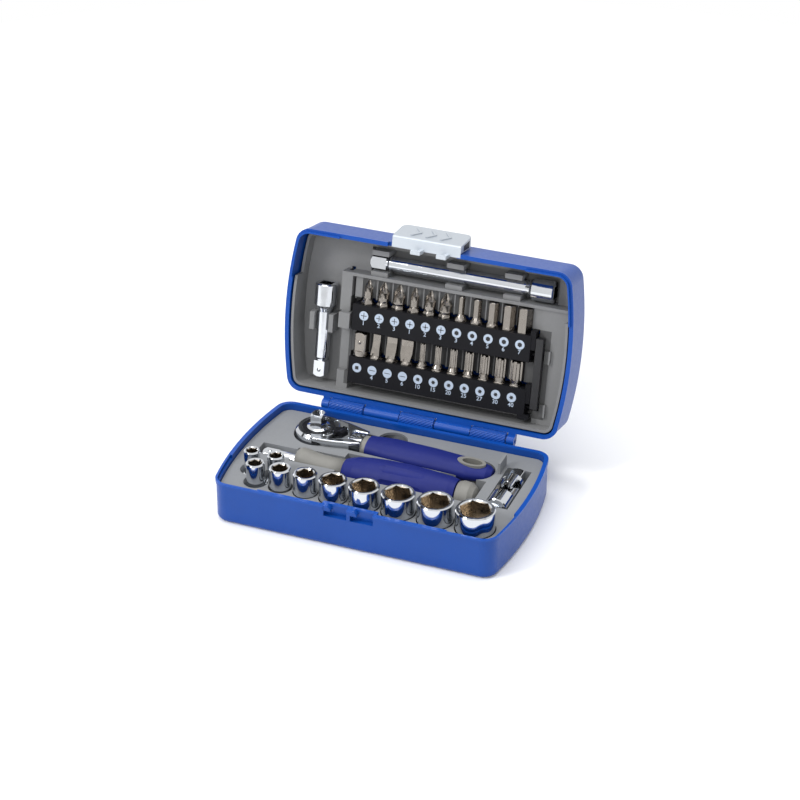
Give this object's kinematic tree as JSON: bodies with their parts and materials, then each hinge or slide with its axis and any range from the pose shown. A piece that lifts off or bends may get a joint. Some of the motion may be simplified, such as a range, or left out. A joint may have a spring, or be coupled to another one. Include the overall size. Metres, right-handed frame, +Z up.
{
  "type": "socket wrench set in case",
  "caption": "Hinged plastic case with a sliding latch, holding sockets, a reversible ratchet, a spinner handle, a universal joint, extension bars and tilting bit rails.",
  "frame": {"origin": "centre of the base's underside", "axes": "+Z up from the surface the case stands on, +X to the right along the front wall, +Y to the back towards the hinge"},
  "size_m": [0.157, 0.1349, 0.1168],
  "materials": {
    "case_blue": "satin moulded polypropylene",
    "tray_grey": "matt moulded plastic",
    "lid_tray_grey": "matt moulded plastic",
    "pin_steel": "drawn wire",
    "latch_silver": "silver moulded plastic",
    "polished_chrome": "mirror chrome plate",
    "rail_black": "black moulded plastic",
    "bit_steel": "satin nickel",
    "grip_blue": "soft-touch moulded grip",
    "grip_grey": "warm grey moulded core"
  },
  "bodies": {
    "base": {"case_base": "case_blue", "hinge_pin": "pin_steel", "base_inlay": "tray_grey"},
    "lid": {"case_lid": "case_blue", "lid_inlay": "lid_tray_grey"},
    "latch": {"latch_slider": "latch_silver"},
    "upper_rail": {"bit_rail_upper": "rail_black", "bit_cross_1": "bit_steel", "bit_cross_2": "bit_steel", "bit_cross_3": "bit_steel", "bit_cross_4": "bit_steel", "bit_cross_5": "bit_steel", "bit_cross_6": "bit_steel", "bit_hex_3": "bit_steel", "bit_hex_4": "bit_steel", "bit_hex_5": "bit_steel", "bit_hex_6": "bit_steel", "bit_hex_7": "bit_steel"},
    "lower_rail": {"bit_rail_lower": "rail_black", "bit_adaptor": "bit_steel", "bit_slot_4": "bit_steel", "bit_slot_5": "bit_steel", "bit_slot_6": "bit_steel", "bit_star_10": "bit_steel", "bit_star_15": "bit_steel", "bit_star_20": "bit_steel", "bit_star_25": "bit_steel", "bit_star_27": "bit_steel", "bit_star_30": "bit_steel", "bit_star_40": "bit_steel"},
    "rail_link": {"rail_link": "rail_black"},
    "short_bar": {"extension_short": "polished_chrome"},
    "long_bar": {"extension_long": "polished_chrome"},
    "universal_joint": {"uj_socket_end": "polished_chrome"},
    "universal_joint_drive": {"uj_cross": "polished_chrome", "uj_drive_end": "polished_chrome"},
    "ratchet": {"ratchet_body": "polished_chrome", "ratchet_screws": "polished_chrome", "ratchet_grip": "grip_blue", "ratchet_collar": "grip_grey", "ratchet_eye": "grip_grey"},
    "ratchet_square": {"ratchet_drive": "polished_chrome"},
    "ratchet_lever": {"ratchet_lever": "rail_black"},
    "spinner": {"spinner_shaft": "polished_chrome", "spinner_core": "grip_grey", "spinner_grip": "grip_blue"},
    "socket_05": {"socket_05": "polished_chrome"},
    "socket_055": {"socket_055": "polished_chrome"},
    "socket_06": {"socket_06": "polished_chrome"},
    "socket_07": {"socket_07": "polished_chrome"},
    "socket_08": {"socket_08": "polished_chrome"},
    "socket_10": {"socket_10": "polished_chrome"},
    "socket_11": {"socket_11": "polished_chrome"},
    "socket_12": {"socket_12": "polished_chrome"},
    "socket_13": {"socket_13": "polished_chrome"},
    "socket_14": {"socket_14": "polished_chrome"}
  },
  "joints": [
    {"name": "lid_hinge", "type": "hinge", "parent": "base", "child": "lid", "pos_m": [0, 0.0481, 0.0231], "axis": [-1, 0, 0], "range_deg": [-102.4, 0]},
    {"name": "latch_slide", "type": "slide", "parent": "lid", "child": "latch", "axis": [1, 0, 0], "range_m": [-0.0034, 0]},
    {"name": "upper_rail_tilt", "type": "hinge", "parent": "lid", "child": "upper_rail", "pos_m": [0, 0.06746, 0.06461], "axis": [1, 0, 0], "range_deg": [0, 30]},
    {"name": "lower_rail_tilt", "type": "hinge", "parent": "lid", "child": "lower_rail", "pos_m": [0, 0.06132, 0.03668], "axis": [1, 0, 0], "range_deg": [0, 30]},
    {"name": "rail_link_pivot", "type": "hinge", "parent": "upper_rail", "child": "rail_link", "pos_m": [0.06, 0.06541, 0.07202], "axis": [1, 0, 0], "range_deg": [-30, 0]},
    {"name": "short_bar_pull", "type": "slide", "parent": "lid", "child": "short_bar", "axis": [0, -0.9767, 0.2147], "range_m": [0, 0.016]},
    {"name": "long_bar_pull", "type": "slide", "parent": "lid", "child": "long_bar", "axis": [0, -0.9767, 0.2147], "range_m": [0, 0.02]},
    {"name": "universal_joint_lift", "type": "slide", "parent": "base", "child": "universal_joint", "axis": [0, 0, 1], "range_m": [0, 0.025]},
    {"name": "universal_joint_bend", "type": "hinge", "parent": "universal_joint", "child": "universal_joint_drive", "pos_m": [0.063, 0.009, 0.0174], "axis": [1, 0, 0], "range_deg": [0, 40]},
    {"name": "ratchet_lift", "type": "slide", "parent": "base", "child": "ratchet", "axis": [0, 0, 1], "range_m": [0, 0.025]},
    {"name": "ratchet_spin", "type": "hinge", "parent": "ratchet", "child": "ratchet_square", "pos_m": [-0.046, 0.0252, 0.0183], "axis": [0, 0, 1], "continuous": true},
    {"name": "ratchet_reverse", "type": "hinge", "parent": "ratchet", "child": "ratchet_lever", "pos_m": [-0.03442, 0.02461, 0.021], "axis": [0, 0, 1], "range_deg": [0, 40]},
    {"name": "spinner_lift", "type": "slide", "parent": "base", "child": "spinner", "axis": [0, 0, 1], "range_m": [0, 0.025]},
    {"name": "socket_05_lift", "type": "slide", "parent": "base", "child": "socket_05", "axis": [0, 0, 1], "range_m": [0, 0.025]},
    {"name": "socket_055_lift", "type": "slide", "parent": "base", "child": "socket_055", "axis": [0, 0, 1], "range_m": [0, 0.025]},
    {"name": "socket_06_lift", "type": "slide", "parent": "base", "child": "socket_06", "axis": [0, 0, 1], "range_m": [0, 0.025]},
    {"name": "socket_07_lift", "type": "slide", "parent": "base", "child": "socket_07", "axis": [0, 0, 1], "range_m": [0, 0.025]},
    {"name": "socket_08_lift", "type": "slide", "parent": "base", "child": "socket_08", "axis": [0, 0, 1], "range_m": [0, 0.025]},
    {"name": "socket_10_lift", "type": "slide", "parent": "base", "child": "socket_10", "axis": [0, 0, 1], "range_m": [0, 0.025]},
    {"name": "socket_11_lift", "type": "slide", "parent": "base", "child": "socket_11", "axis": [0, 0, 1], "range_m": [0, 0.025]},
    {"name": "socket_12_lift", "type": "slide", "parent": "base", "child": "socket_12", "axis": [0, 0, 1], "range_m": [0, 0.025]},
    {"name": "socket_13_lift", "type": "slide", "parent": "base", "child": "socket_13", "axis": [0, 0, 1], "range_m": [0, 0.025]},
    {"name": "socket_14_lift", "type": "slide", "parent": "base", "child": "socket_14", "axis": [0, 0, 1], "range_m": [0, 0.025]}
  ],
  "couplings": [
    {"joint": "lower_rail_tilt", "follows": "upper_rail_tilt", "ratio": 1},
    {"joint": "rail_link_pivot", "follows": "upper_rail_tilt", "ratio": -1}
  ]
}
